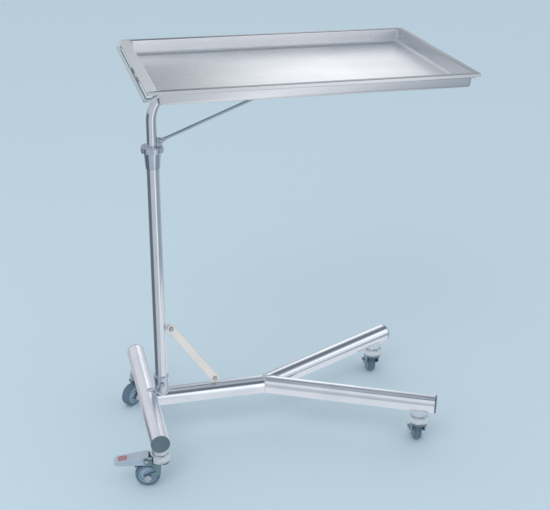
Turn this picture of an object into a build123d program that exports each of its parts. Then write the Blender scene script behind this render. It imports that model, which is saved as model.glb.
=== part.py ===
"""Mobile instrument stand with a lift-off steel tray, in millimetres.

+X runs from the post towards the free end of the tray, +Y towards the back, +Z up. The origin is
on the floor, at the middle of the stand's outline. The functions measure X from the axis of the
post, and save() moves every piece to the origin.
"""

from build123d import *
import math
import os

# Tray: a pressed sheet with an outward flange and a turned-down lip
RIM_Z = 812.0
TRAY_LEFT = -31.0
TRAY_LENGTH = 600.0
TRAY_WIDTH = 410.0
TRAY_DEPTH = 28.0
SHEET = 1.0
GRIP_FLANGE = 18.0
FLANGE = 10.0
WALL_FLARE = 3.0
WALL_CORNER = 8.0
FLOOR_BEND = 5.0
LIP = 6.0
LIP_ROUND = 0.8

# Frame of rod and strap that carries the tray by its flange
ROD_R = 3.5
ROD_BEND = 9.0
ROD_DROP = 10.0
ROD_DROP_START = 8.0
ROD_DROP_END = 24.0
END_BAR_R = 4.0
END_BAR_ROUND = 1.5
REST_GAP = 0.3
STRAP_WIDTH = 40.0
STRAP = 3.0
STRAP_BEND = 1.2
STRAP_CORNER = 8.0
STRAP_SCREW_R = 2.5
STRAP_GAP = 1.0
STRAP_SCREW_HEAD = 2.6
STRAP_SCREW_HEAD_R = 4.5
SCREW_PLAY = 0.2
END_STRAP_FOOT = 118.0
FAR_STRAP_FOOT = 432.0
END_STRAP_SCREWS = (84.0, 104.0)
FAR_STRAP_SCREWS = (450.0, 485.0)

# Telescopic post
OUTER_R = 12.7
OUTER_BORE_R = 11.2
INNER_R = 10.0
INNER_BORE_R = 8.5
POST_TOP_Z = 640.0
INNER_FOOT_Z = 165.0
BEND_R = 70.0
ARM_END = 505.0
RUNNING = 0.05
BUSH_COLLAR = 14.0
BUSH_SPIGOT = 16.0
CAP_SPIGOT = 12.0
CAP_HEAD = 4.0
CAP_ROUND = 2.5

# Clamp at the top of the outer post
SLEEVE_TOP_R = 16.5
SLEEVE_FOOT_R = 13.9
SLEEVE_LENGTH = 32.0
SPIGOT_R = 15.0
SPIGOT_LENGTH = 9.0
RING_R = 22.0
RING_HEIGHT = 12.0
RING_ROUND = 1.5
FLUTES = 20
FLUTE_R = 1.6
FLUTE_OFFSET = 0.8
COLLET_R = 13.1
COLLET_SPLIT = 1.6

# Brace rod under the arm
BRACE_R = 3.0
BRACE_LOW_X = 17.0
BRACE_LOW_Z = 662.0
BRACE_HIGH_X = 248.0
LUG_DEPTH = 14.0
LUG_R = 5.0
LUG_WIDTH = 8.0
LUG_SLOT = 3.2
TONGUE = 2.8
TONGUE_LENGTH = 11.0
TONGUE_HEIGHT = 7.6
EYE_R = 4.6
BRACE_SCREW_R = 2.5
BRACE_SCREW_HEAD = 2.6
BRACE_SCREW_HEAD_R = 4.2
BRACE_NUT = 3.0
BRACE_NUT_FLATS = 8.0
SCREW_HOLE_PLAY = 0.1

# Base of round tube
BASE_Z = 101.0
BASE_R = 19.0
BASE_WALL = 1.8
CROSS_X = -30.0
CROSS_NEAR = 178.0
CROSS_FAR = 201.0
CASTOR_Y = 163.0
JUNCTION_X = 220.0
ARM_TIP_X = 549.0
ARM_TIP_Y = 164.0
CASTOR_INSET = 31.0
PLUG = 3.0
PLUG_SPIGOT = 8.0
PLUG_ROUND = 1.6

# Foot socket and gusset
SOCKET_R = 15.0
SOCKET_TOP_Z = 153.0
SOCKET_BEAD = 1.5
SOCKET_BEAD_HEIGHT = 4.0
SOCKET_SCREW_Z = 137.0
SOCKET_SCREW_R = 3.0
SOCKET_SCREW_HEAD = 4.0
SOCKET_SCREW_FLATS = 8.0
GUSSET_TOP = (23.5, 260.0)
GUSSET_FOOT = (113.0, 132.0)
GUSSET_WIDTH = 18.0
GUSSET_THICK = 5.0
TAB = 3.0
TAB_R = 9.0
GUSSET_SCREW_R = 3.0
GUSSET_HEAD = 3.0
GUSSET_HEAD_R = 5.2
GUSSET_NUT = 4.5
GUSSET_NUT_FLATS = 10.0

# Castors
WHEEL_R = 25.0
TYRE_WIDTH = 18.0
TYRE_SHOULDER = 3.5
RIM_R = 18.0
RIM = 2.5
HUB_WIDTH = 24.0
BOSS_R = 7.5
HALF_WEB = 3.0
COVER = 1.5
AXLE_R = 4.0
AXLE_HEX = 13.0
AXLE_HEAD = 4.5
AXLE_NUT = 5.5
TRAIL = 25.0
FORK_INNER = 13.0
FORK_WALL = 2.5
FORK_FOOT_R = 7.5
LEG_KNEE = (-3.0, 34.0)
LEG_KNEE_R = 4.0
CROWN_Z = 52.0
CROWN = 3.0
CROWN_R = 19.0
RACE_R = 15.5
BALL_RING_R = 12.0
BALL_R = 1.5
BALL_Z = 60.9
BALL_COUNT = 12
BALL_PLAY = 0.2
STEM_R = 5.0
STEM_HEAD_R = 8.0
STEM_HEAD = 2.3
STEM_GAP = 0.3
CUP_R = 20.5
CUP_WALL = 2.5
CUP_FOOT_Z = 57.0
CUP_TOP_Z = 74.0
CUP_NECK_R = 16.0
CUP_ROUND = 4.0
SWIVEL_ANGLES = {"near_left": -8.0, "far_left": 40.0, "near_right": -103.0, "far_right": -96.0}

# Brake pedal on the near left castor: a channel that straddles the tyre
PIVOT_X = -27.0
PIVOT_Z = 62.0
EAR_R = 5.5
PEDAL_HEEL_X = -22.5
PEDAL_HEEL_LOW = 51.5
PEDAL_HEEL_HIGH = 71.0
PEDAL_TIP_X = -91.0
PEDAL_TIP_LOW = 52.5
PEDAL_TIP_HIGH = 60.0
PEDAL_WIDTH = 25.0
PEDAL_WALL = 2.5
PEDAL_PLATE = 2.0
PEDAL_TIP_CORNER = 8.0
PEDAL_NOSE = 12.0
PEDAL_SWING = 12.0
SHOE_WIDTH = 16.0
SHOE_BACK = 21.0
SHOE_FRONT = 10.0
SHOE_FOOT = 13.0
SHOE_GAP = 0.3
PIN_R = 2.0
PIN_HEAD = 1.5
PIN_HEAD_R = 3.5

# Derived sizes
TRAY_RIGHT = TRAY_LEFT + TRAY_LENGTH
TRAY_MID = TRAY_LEFT + TRAY_LENGTH / 2
WELL_MID = (TRAY_LEFT + GRIP_FLANGE + TRAY_RIGHT - FLANGE) / 2
ARM_Z = RIM_Z - TRAY_DEPTH - REST_GAP - STRAP_GAP - STRAP - INNER_R
FRAME_Z = RIM_Z - SHEET - REST_GAP - ROD_R
END_BAR_Z = FRAME_Z - ROD_DROP
END_BAR_X = TRAY_LEFT - 3.0
FRAME_INSET = SHEET + 0.5 + ROD_R
ARM_ANGLE = math.degrees(math.atan2(ARM_TIP_Y, ARM_TIP_X - JUNCTION_X))
ARM_LENGTH = math.hypot(ARM_TIP_X - JUNCTION_X, ARM_TIP_Y)
CASTOR_ARM_X = ARM_TIP_X - CASTOR_INSET * math.cos(math.radians(ARM_ANGLE))
CASTOR_ARM_Y = ARM_TIP_Y - CASTOR_INSET * math.sin(math.radians(ARM_ANGLE))
CASTOR_PLACES = {
    "near_left": (CROSS_X, -CASTOR_Y),
    "far_left": (CROSS_X, CASTOR_Y),
    "near_right": (CASTOR_ARM_X, -CASTOR_ARM_Y),
    "far_right": (CASTOR_ARM_X, CASTOR_ARM_Y),
}
TUBE_BOTTOM_Z = BASE_Z - BASE_R
PEDAL_TURN = math.radians(-SWIVEL_ANGLES["near_left"])
PEDAL_TIP_SIDE = (PEDAL_WIDTH / 2 - PEDAL_TIP_CORNER) * math.sin(PEDAL_TURN) + PEDAL_TIP_CORNER
PEDAL_REACH = (-PEDAL_TIP_X - PEDAL_TIP_CORNER) * math.cos(PEDAL_TURN) + PEDAL_TIP_SIDE
POST_X = (PEDAL_REACH - CROSS_X - TRAY_RIGHT) / 2


def save(name, *solids):
    """Write one node, moved from the post's axis to the stand's own frame."""
    shape = solids[0] if len(solids) == 1 else Compound(children=list(solids))
    export_step(shape.moved(Location((POST_X, 0, 0))), f"parts/{name}.step")


def rod(start, end, radius):
    """Solid round bar between two points."""
    axis = Vector(*end) - Vector(*start)
    return extrude(Plane(origin=start, z_dir=axis) * Circle(radius), axis.length)


def tube(start, end, radius, bore):
    """Round tube between two points."""
    axis = Vector(*end) - Vector(*start)
    section = Plane(origin=start, z_dir=axis) * (Circle(radius) - Circle(bore))
    return extrude(section, axis.length)


def disc(radius, low, high, x=0.0, y=0.0):
    """Upright cylinder from one height to another."""
    return Pos(x, y, low) * extrude(Circle(radius), high - low)


def slab(x0, x1, y0, y1, z0, z1):
    """Box between two corners."""
    size = Box(x1 - x0, y1 - y0, z1 - z0)
    return Pos((x0 + x1) / 2, (y0 + y1) / 2, (z0 + z1) / 2) * size


def hexagon(x, y0, y1, z, across_flats):
    """Hexagon head or nut along Y."""
    radius = across_flats / math.sqrt(3)
    section = Plane(origin=(x, y0, z), z_dir=(0, 1, 0)) * RegularPolygon(radius, 6)
    return extrude(section, y1 - y0)


def edges_near_z(shape, z, reach=0.01):
    """Edges whose whole length lies at one height."""
    return shape.edges().filter_by(
        lambda e: abs(e.bounding_box().min.Z - z) < reach and abs(e.bounding_box().max.Z - z) < reach
    )


# ---------------------------------------------------------------- tray and its frame


def well(length, width, corner, top, bottom):
    """Tapered block that narrows by the wall's flare on each side down to its floor."""
    upper = Pos(WELL_MID, 0, top) * RectangleRounded(length, width, corner)
    shrink = 2 * WALL_FLARE
    lower = Pos(WELL_MID, 0, bottom) * RectangleRounded(length - shrink, width - shrink, corner)
    return loft([upper.face(), lower.face()])


def tray():
    """Tray with flared walls, a bend round its floor, a flange and a turned-down lip."""
    length = TRAY_LENGTH - GRIP_FLANGE - FLANGE
    width = TRAY_WIDTH - 2 * FLANGE
    floor_z = RIM_Z - TRAY_DEPTH
    outside = well(length, width, WALL_CORNER + SHEET, RIM_Z, floor_z)
    outside = fillet(edges_near_z(outside, floor_z), FLOOR_BEND + SHEET)
    inner_size = (length - 2 * SHEET, width - 2 * SHEET)
    inside = well(*inner_size, WALL_CORNER, RIM_Z, floor_z + SHEET)
    inside = fillet(edges_near_z(inside, floor_z + SHEET), FLOOR_BEND)
    flange = Pos(TRAY_MID, 0, RIM_Z - SHEET / 2) * Box(TRAY_LENGTH, TRAY_WIDTH, SHEET)
    lip = Pos(TRAY_MID, 0, RIM_Z - LIP / 2) * Box(TRAY_LENGTH, TRAY_WIDTH, LIP)
    lip -= Pos(TRAY_MID, 0, RIM_Z - LIP / 2) * Box(
        TRAY_LENGTH - 2 * SHEET, TRAY_WIDTH - 2 * SHEET, LIP
    )
    body = flange + lip + outside - inside
    rim = body.edges().filter_by(lambda e: e.bounding_box().min.Z > RIM_Z - 0.01)
    outline = rim.filter_by(
        lambda e: abs(abs(e.center().Y) - TRAY_WIDTH / 2) < 0.1
        or abs(abs(e.center().X - TRAY_MID) - TRAY_LENGTH / 2) < 0.1
    )
    return fillet(outline, LIP_ROUND)


def frame_rod():
    """Rod bent to three sides of a rectangle under the flange, its ends dropped to the end bar."""
    left, right = END_BAR_X + END_BAR_R - 1.0, TRAY_RIGHT - FRAME_INSET
    side = TRAY_WIDTH / 2 - FRAME_INSET
    foot, rise = TRAY_LEFT + ROD_DROP_START, TRAY_LEFT + ROD_DROP_END
    half = [(left, END_BAR_Z), (foot, END_BAR_Z), (rise, FRAME_Z), (right, FRAME_Z)]
    points = [(x, -side, z) for x, z in half] + [(x, side, z) for x, z in reversed(half)]
    path = FilletPolyline(*points, radius=ROD_BEND)
    section = Plane(origin=points[0], z_dir=(1, 0, 0)) * Circle(ROD_R)
    bar = rod((END_BAR_X, -side - 10, END_BAR_Z), (END_BAR_X, side + 10, END_BAR_Z), END_BAR_R)
    return sweep(section, path) - bar


def end_bar():
    """Cross bar just outside the grip flange, which the frame rod's ends are welded to."""
    half = TRAY_WIDTH / 2 - FRAME_INSET + ROD_R
    bar = rod((END_BAR_X, -half, END_BAR_Z), (END_BAR_X, half, END_BAR_Z), END_BAR_R)
    return fillet(bar.edges().filter_by(GeomType.CIRCLE), END_BAR_ROUND)


def strap_holes(places):
    """Holes for the strap's screws, right through strap and arm."""
    low = ARM_Z - INNER_R - 5
    return [disc(STRAP_SCREW_R + SCREW_PLAY, low, ARM_Z + INNER_R + 2 * STRAP, x) for x in places]


def edge_at(shape, x, z):
    """Edge along Y that passes nearest to a point in the XZ plane."""
    return shape.edges().filter_by(Axis.Y).sort_by(
        lambda e: math.hypot(e.center().X - x, e.center().Z - z)
    )[0]


def strap(foot_x, tip_x, top_z, screws):
    """Flat strap on the arm, turned up at its tip to the frame and saddled where it meets the rod."""
    low = ARM_Z + INNER_R
    half = STRAP_WIDTH / 2
    inner_x = tip_x - math.copysign(STRAP, tip_x - foot_x)
    run = slab(*sorted((foot_x, tip_x)), -half, half, low, low + STRAP)
    leg = slab(*sorted((inner_x, tip_x)), -half, half, low, top_z)
    end_rod_x = TRAY_RIGHT - FRAME_INSET
    leg -= rod((end_rod_x, -half, FRAME_Z), (end_rod_x, half, FRAME_Z), ROD_R)
    bent = run + leg
    bent = fillet(edge_at(bent, tip_x, low), STRAP - 0.2)
    bent = fillet(edge_at(bent, inner_x, low + STRAP), STRAP_BEND)
    for hole in strap_holes(screws):
        bent -= hole
    corners = bent.edges().filter_by(Axis.Z).filter_by(lambda e: abs(e.center().X - foot_x) < 0.1)
    return fillet(corners, STRAP_CORNER)


def strap_screws(places):
    """Screws of one strap, up through the arm, with domed heads under it."""
    screws = []
    head_top = ARM_Z - INNER_R - 0.05
    for x in places:
        below = slab(x - 9, x + 9, -9, 9, head_top - STRAP_SCREW_HEAD, head_top)
        head = (Pos(x, 0, head_top) * Sphere(STRAP_SCREW_HEAD_R)) & below
        screws.append(head + disc(STRAP_SCREW_R, head_top - 1, ARM_Z + INNER_R + STRAP, x))
    return screws


# ---------------------------------------------------------------- upper support


def inner_tube():
    """Inner tube of the post, bent over to run along under the tray."""
    path = FilletPolyline((0, 0, INNER_FOOT_Z), (0, 0, ARM_Z), (ARM_END, 0, ARM_Z), radius=BEND_R)
    section = Plane(origin=(0, 0, INNER_FOOT_Z), x_dir=(0, 1, 0), z_dir=(0, 0, 1))
    bent = sweep(section * (Circle(INNER_R) - Circle(INNER_BORE_R)), path)
    for hole in strap_holes((*END_STRAP_SCREWS, *FAR_STRAP_SCREWS)):
        bent -= hole
    return bent


def guide_bush():
    """Plug in the inner tube's foot that guides it down the outer post."""
    collar = disc(OUTER_BORE_R - RUNNING, INNER_FOOT_Z - BUSH_COLLAR, INNER_FOOT_Z)
    collar = chamfer(collar.edges(), 1.0)
    return collar + disc(INNER_BORE_R, INNER_FOOT_Z, INNER_FOOT_Z + BUSH_SPIGOT)


def arm_cap():
    """Domed cap in the arm's open end."""
    spigot = rod((ARM_END - CAP_SPIGOT, 0, ARM_Z), (ARM_END, 0, ARM_Z), INNER_BORE_R)
    head = rod((ARM_END, 0, ARM_Z), (ARM_END + CAP_HEAD, 0, ARM_Z), INNER_R)
    head = fillet(head.edges().filter_by(GeomType.CIRCLE).sort_by(Axis.X)[-1], CAP_ROUND)
    return spigot + head


def brace_ends():
    """Middles of the screws at the brace's two ends."""
    return (BRACE_LOW_X, BRACE_LOW_Z), (BRACE_HIGH_X, ARM_Z - INNER_R - LUG_DEPTH / 2)


def brace_rod():
    """Diagonal rod from just above the clamp to the middle of the arm, flattened at its ends."""
    (x0, z0), (x1, z1) = brace_ends()
    along = Vector(x1 - x0, 0, z1 - z0).normalized()
    inset = along * (TONGUE_LENGTH - BRACE_R - 1)
    start, end = Vector(x0, 0, z0) + inset, Vector(x1, 0, z1) - inset
    brace = rod(tuple(start), tuple(end), BRACE_R)
    for (x, z), way in (((x0, z0), 1), ((x1, z1), -1)):
        eye = rod((x, -TONGUE / 2, z), (x, TONGUE / 2, z), EYE_R)
        tongue = Plane(origin=(x, 0, z), x_dir=tuple(along), z_dir=(0, -1, 0)) * (
            Pos(TONGUE_LENGTH / 2 * way, 0, 0) * Box(TONGUE_LENGTH, TONGUE_HEIGHT, TONGUE)
        )
        brace += eye + tongue
    for x, z in brace_ends():
        brace -= rod((x, -3, z), (x, 3, z), BRACE_SCREW_R + SCREW_HOLE_PLAY)
    return brace


def brace_lugs():
    """Two small forks, one on the post and one under the arm, that hold the brace."""
    (x0, z0), (x1, z1) = brace_ends()
    half, gap, hole = LUG_WIDTH / 2, LUG_SLOT / 2, BRACE_SCREW_R + SCREW_HOLE_PLAY
    low = slab(INNER_R - 3, x0, -half, half, z0 - LUG_R, z0 + LUG_R)
    low += rod((x0, -half, z0), (x0, half, z0), LUG_R)
    low -= disc(INNER_R, z0 - 20, z0 + 20)
    low -= slab(INNER_R + 0.8, x0 + 20, -gap, gap, z0 - 20, z0 + 20)
    low -= rod((x0, -10, z0), (x0, 10, z0), hole)
    high = slab(x1 - LUG_R, x1 + LUG_R, -half, half, z1, ARM_Z)
    high += rod((x1, -half, z1), (x1, half, z1), LUG_R)
    high -= rod((x1 - 20, 0, ARM_Z), (x1 + 20, 0, ARM_Z), INNER_R)
    high -= slab(x1 - 20, x1 + 20, -gap, gap, z1 - 20, ARM_Z - INNER_R - 0.8)
    high -= rod((x1, -10, z1), (x1, 10, z1), hole)
    return [low, high]


def brace_screws():
    """Screw and nut through each lug."""
    screws = []
    half = LUG_WIDTH / 2
    for x, z in brace_ends():
        head = rod((x, -half - BRACE_SCREW_HEAD, z), (x, -half, z), BRACE_SCREW_HEAD_R)
        head = fillet(head.edges().filter_by(GeomType.CIRCLE).sort_by(Axis.Y)[0], 1.5)
        shank = rod((x, -half, z), (x, half, z), BRACE_SCREW_R)
        screws.append(head + shank + hexagon(x, half, half + BRACE_NUT, z, BRACE_NUT_FLATS))
    return screws


# ---------------------------------------------------------------- post and clamp


def foot_socket():
    """Socket welded on the main beam, with a bead at its mouth."""
    socket = disc(SOCKET_R, BASE_Z, SOCKET_TOP_Z)
    socket += disc(SOCKET_R + SOCKET_BEAD, SOCKET_TOP_Z - SOCKET_BEAD_HEIGHT, SOCKET_TOP_Z)
    socket = fillet(edges_near_z(socket, SOCKET_TOP_Z), 1.2)
    socket -= rod((-40, 0, BASE_Z), (40, 0, BASE_Z), BASE_R)
    socket -= rod((CROSS_X, -40, BASE_Z), (CROSS_X, 40, BASE_Z), BASE_R)
    socket -= disc(OUTER_R, BASE_Z, SOCKET_TOP_Z + 1)
    return socket - rod((0, -30, SOCKET_SCREW_Z), (0, 0, SOCKET_SCREW_Z), SOCKET_SCREW_R + SCREW_HOLE_PLAY)


def socket_screw():
    """Set screw in the side of the foot socket."""
    z, under = SOCKET_SCREW_Z, -SOCKET_R - 0.2
    head = hexagon(0, under - SOCKET_SCREW_HEAD, under, z, SOCKET_SCREW_FLATS)
    return head + rod((0, under - 0.1, z), (0, -OUTER_R - 0.1, z), SOCKET_SCREW_R)


def clamp_sleeve():
    """Tapered sleeve on the post's top, with a spigot for the clamp ring."""
    foot_z = POST_TOP_Z - SLEEVE_LENGTH
    taper = Pos(0, 0, foot_z + SLEEVE_LENGTH / 2) * Cone(SLEEVE_FOOT_R, SLEEVE_TOP_R, SLEEVE_LENGTH)
    spigot = disc(SPIGOT_R, POST_TOP_Z, POST_TOP_Z + SPIGOT_LENGTH)
    sleeve = taper + spigot - disc(OUTER_R, foot_z - 1, POST_TOP_Z)
    return sleeve - disc(COLLET_R, POST_TOP_Z - 0.5, POST_TOP_Z + SPIGOT_LENGTH + 1)


def clamp_ring():
    """Ring nut over the spigot, with shallow finger flutes."""
    low = POST_TOP_Z + 0.5
    ring = disc(RING_R, low, low + RING_HEIGHT)
    ring = fillet(ring.edges().filter_by(GeomType.CIRCLE), RING_ROUND)
    ring -= disc(SPIGOT_R + RUNNING, low - 1, POST_TOP_Z + SPIGOT_LENGTH + 0.4)
    ring -= disc(INNER_R + 0.6, low, low + RING_HEIGHT + 1)
    reach = RING_R + FLUTE_OFFSET
    for i in range(FLUTES):
        turn = 2 * math.pi * i / FLUTES
        x, y = reach * math.cos(turn), reach * math.sin(turn)
        ring -= disc(FLUTE_R, low - 1, low + RING_HEIGHT + 1, x, y)
    return ring


def collet():
    """Split plastic collet that the clamp ring closes on the inner tube."""
    low = POST_TOP_Z + 0.3
    sleeve = disc(COLLET_R - RUNNING, low, POST_TOP_Z + SPIGOT_LENGTH - 0.2)
    sleeve = chamfer(sleeve.edges().filter_by(GeomType.CIRCLE).sort_by(Axis.Z)[-1], 0.8)
    sleeve -= disc(INNER_R + RUNNING, low - 1, POST_TOP_Z + SPIGOT_LENGTH)
    split = slab(-20, 0, -COLLET_SPLIT / 2, COLLET_SPLIT / 2, low - 1, POST_TOP_Z + SPIGOT_LENGTH)
    return sleeve - split


# ---------------------------------------------------------------- base


def castor_hole(name):
    """Hole for a castor's stem in the underside of its tube."""
    x, y = CASTOR_PLACES[name]
    return disc(STEM_R + 0.1, TUBE_BOTTOM_Z - 5, BASE_Z, x, y)


def cross_tube():
    """Cross tube under the post end of the stand."""
    ends = (CROSS_X, -CROSS_NEAR, BASE_Z), (CROSS_X, CROSS_FAR, BASE_Z)
    bar = tube(*ends, BASE_R, BASE_R - BASE_WALL)
    return bar - castor_hole("near_left") - castor_hole("far_left")


def main_beam():
    """Beam from the cross tube, coped round it, to the fork of the two arms."""
    beam = tube((CROSS_X, 0, BASE_Z), (JUNCTION_X, 0, BASE_Z), BASE_R, BASE_R - BASE_WALL)
    return beam - rod((CROSS_X, -60, BASE_Z), (CROSS_X, 60, BASE_Z), BASE_R)


def base_arm(side, name):
    """One arm of the fork, mitred against the other arm and butted on the beam."""
    start, tip = (JUNCTION_X, 0, BASE_Z), (ARM_TIP_X, side * ARM_TIP_Y, BASE_Z)
    back = 60.0
    lead = Vector(*start) - (Vector(*tip) - Vector(*start)).normalized() * back
    arm = tube(tuple(lead), tip, BASE_R, BASE_R - BASE_WALL)
    arm &= slab(JUNCTION_X, ARM_TIP_X + 40, *sorted((0, side * 300)), BASE_Z - 30, BASE_Z + 30)
    return arm - castor_hole(name)


def end_plugs():
    """Flat plugs that close the four open tube ends."""
    ends = [((CROSS_X, -CROSS_NEAR, BASE_Z), (0, -1, 0)), ((CROSS_X, CROSS_FAR, BASE_Z), (0, 1, 0))]
    reach = math.radians(ARM_ANGLE)
    for side in (-1, 1):
        way = (math.cos(reach), side * math.sin(reach), 0)
        ends.append(((ARM_TIP_X, side * ARM_TIP_Y, BASE_Z), way))
    plugs = []
    for place, way in ends:
        face = Plane(origin=place, z_dir=way)
        head = extrude(face * Circle(BASE_R), PLUG)
        outer = head.edges().filter_by(GeomType.CIRCLE).sort_by(
            lambda e: (e.center() - Vector(*place)).length
        )[-1]
        spigot = extrude(face * Circle(BASE_R - BASE_WALL), -PLUG_SPIGOT)
        plugs.append(fillet(outer, PLUG_ROUND) + spigot)
    return plugs


def gusset_tabs():
    """Tabs on the post and on the beam that take the gusset."""
    (x0, z0), (x1, z1) = GUSSET_TOP, GUSSET_FOOT
    top = slab(OUTER_R - 2, x0, -TAB / 2, TAB / 2, z0 - TAB_R, z0 + TAB_R)
    top += rod((x0, -TAB / 2, z0), (x0, TAB / 2, z0), TAB_R)
    foot = slab(x1 - TAB_R, x1 + TAB_R, -TAB / 2, TAB / 2, BASE_Z + BASE_R - 2, z1)
    foot += rod((x1, -TAB / 2, z1), (x1, TAB / 2, z1), TAB_R)
    top -= disc(OUTER_R, z0 - 20, z0 + 20)
    foot -= rod((x1 - 30, 0, BASE_Z), (x1 + 30, 0, BASE_Z), BASE_R)
    tabs = []
    for tab, (x, z) in ((top, (x0, z0)), (foot, (x1, z1))):
        tabs.append(tab - rod((x, -9, z), (x, 9, z), GUSSET_SCREW_R + SCREW_HOLE_PLAY))
    return tabs


def gusset():
    """Flat strut with round ends between post and beam."""
    (x0, z0), (x1, z1) = GUSSET_TOP, GUSSET_FOOT
    span = math.hypot(x1 - x0, z1 - z0)
    middle = ((x0 + x1) / 2, -TAB / 2, (z0 + z1) / 2)
    face = Plane(origin=middle, x_dir=(x1 - x0, 0, z1 - z0), z_dir=(0, -1, 0))
    strut = extrude(face * SlotCenterToCenter(span, GUSSET_WIDTH), GUSSET_THICK)
    front = strut.edges().filter_by(lambda e: e.center().Y < -TAB / 2 - GUSSET_THICK + 0.01)
    strut = fillet(front, 1.4)
    for x, z in (GUSSET_TOP, GUSSET_FOOT):
        strut -= rod((x, -30, z), (x, 9, z), GUSSET_SCREW_R + SCREW_HOLE_PLAY)
    return strut


def gusset_screws():
    """Screw and nut at each end of the gusset."""
    front = -TAB / 2 - GUSSET_THICK
    screws = []
    for x, z in (GUSSET_TOP, GUSSET_FOOT):
        head = rod((x, front - GUSSET_HEAD, z), (x, front, z), GUSSET_HEAD_R)
        head = fillet(head.edges().filter_by(GeomType.CIRCLE).sort_by(Axis.Y)[0], 2.0)
        shank = rod((x, front, z), (x, TAB / 2, z), GUSSET_SCREW_R)
        nut = hexagon(x, TAB / 2, TAB / 2 + GUSSET_NUT, z, GUSSET_NUT_FLATS)
        screws.append(head + shank + nut)
    return screws


# ---------------------------------------------------------------- castors, trailing towards -X


def castor_cup(tube_direction):
    """Fixed cup of the swivel bearing, with a neck that fits the tube above it."""
    cup = disc(CUP_R, CUP_FOOT_Z, CUP_TOP_Z)
    cup = fillet(cup.edges().filter_by(GeomType.CIRCLE).sort_by(Axis.Z)[-1], CUP_ROUND)
    cup += disc(CUP_NECK_R, CUP_TOP_Z - 1, BASE_Z)
    cup -= disc(CUP_R - CUP_WALL, CUP_FOOT_Z - 1, BALL_Z + BALL_R + BALL_PLAY)
    cup -= disc(STEM_R + 0.1, CUP_FOOT_Z - 1, BASE_Z + 1)
    along = Vector(*tube_direction) * 60
    middle = Vector(0, 0, BASE_Z)
    return cup - rod(tuple(middle - along), tuple(middle + along), BASE_R)


def castor_stem():
    """Stem that the fork turns on, headed below the fork's crown."""
    stem = disc(STEM_R, CROWN_Z - 1, BASE_Z - 4)
    stem += disc(STEM_HEAD_R, CROWN_Z - STEM_GAP - STEM_HEAD, CROWN_Z - STEM_GAP)
    return chamfer(edges_near_z(stem, BASE_Z - 4), 1.0)


def castor_balls():
    """Ring of balls between the fork's race and the cup."""
    ring = []
    for i in range(BALL_COUNT):
        turn = 2 * math.pi * i / BALL_COUNT
        place = Pos(BALL_RING_R * math.cos(turn), BALL_RING_R * math.sin(turn), BALL_Z)
        ring.append(place * Sphere(BALL_R))
    return ring


def fork_leg_profile():
    """Side view of a leg: straight down from the crown, then back to a round foot at the axle."""
    foot = Pos(-TRAIL, WHEEL_R) * Circle(FORK_FOOT_R)
    knee = Pos(*LEG_KNEE) * Circle(LEG_KNEE_R)
    head = Pos(-7, CROWN_Z + CROWN / 2) * Rectangle(18, CROWN)
    return make_hull((foot + knee).edges()) + make_hull((knee + head).edges())


def brake_ears(upright, width):
    """Ears behind the crown that carry the brake pedal's pin."""
    ear = Pos(PIVOT_X, PIVOT_Z) * Circle(EAR_R)
    head = Pos(PIVOT_X / 2, CROWN_Z + CROWN / 2) * Rectangle(-PIVOT_X, CROWN)
    ears = extrude(upright * make_hull((ear + head).edges()), width)
    ears -= slab(PIVOT_X - 8, -18.5, -FORK_INNER, FORK_INNER, CROWN_Z - 5, PIVOT_Z + 10)
    ears -= disc(CUP_R + 1.0, CROWN_Z + CROWN, CUP_TOP_Z)
    return ears - rod((PIVOT_X, -30, PIVOT_Z), (PIVOT_X, 30, PIVOT_Z), PIN_R + RUNNING)


def castor_fork(with_brake):
    """Pressed fork: a round crown with a raised race, and two legs that trail to the axle."""
    half = FORK_INNER + FORK_WALL
    upright = Plane(origin=(0, half, 0), x_dir=(1, 0, 0), z_dir=(0, -1, 0))
    fork = extrude(upright * fork_leg_profile(), 2 * half)
    if with_brake:
        fork += brake_ears(upright, 2 * half)
    fork -= slab(-60, 60, -FORK_INNER, FORK_INNER, 0, CROWN_Z)
    fork += disc(CROWN_R, CROWN_Z, CROWN_Z + CROWN) & slab(-30, 30, -half, half, 0, BASE_Z)
    fork += disc(RACE_R, CROWN_Z + CROWN - 0.5, BALL_Z - BALL_R - BALL_PLAY)
    fork -= disc(STEM_R + 0.1, CROWN_Z - 5, BASE_Z)
    return fork - rod((-TRAIL, -30, WHEEL_R), (-TRAIL, 30, WHEEL_R), AXLE_R + RUNNING)


def castor_axle():
    """Hexagon bolt through the fork, with its nut."""
    half = FORK_INNER + FORK_WALL
    shank = rod((-TRAIL, -half, WHEEL_R), (-TRAIL, half, WHEEL_R), AXLE_R)
    bolt = shank + hexagon(-TRAIL, -half - AXLE_HEAD, -half, WHEEL_R, AXLE_HEX)
    return bolt + hexagon(-TRAIL, half, half + AXLE_NUT, WHEEL_R, AXLE_HEX)


def wheel_turned(points):
    """Solid turned about the wheel's axle from (radius, offset along the axle) points."""
    outline = Polyline(*[(0, y, r) for r, y in points], close=True)
    turned = revolve(make_face(outline), Axis.Y, 360)
    return Pos(-TRAIL, 0, WHEEL_R) * turned


def wheel_hub():
    """Moulded hub: bored boss, thin web and a rim under the tyre."""
    boss, rim, rim_foot = HUB_WIDTH / 2, TYRE_WIDTH / 2 - 1.0, RIM_R - RIM
    half = [(AXLE_R + RUNNING, boss), (BOSS_R, boss), (BOSS_R + 1, HALF_WEB), (rim_foot, HALF_WEB)]
    half += [(rim_foot + 0.3, rim), (RIM_R, rim)]
    return wheel_turned(half + [(r, -y) for r, y in reversed(half)])


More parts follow.
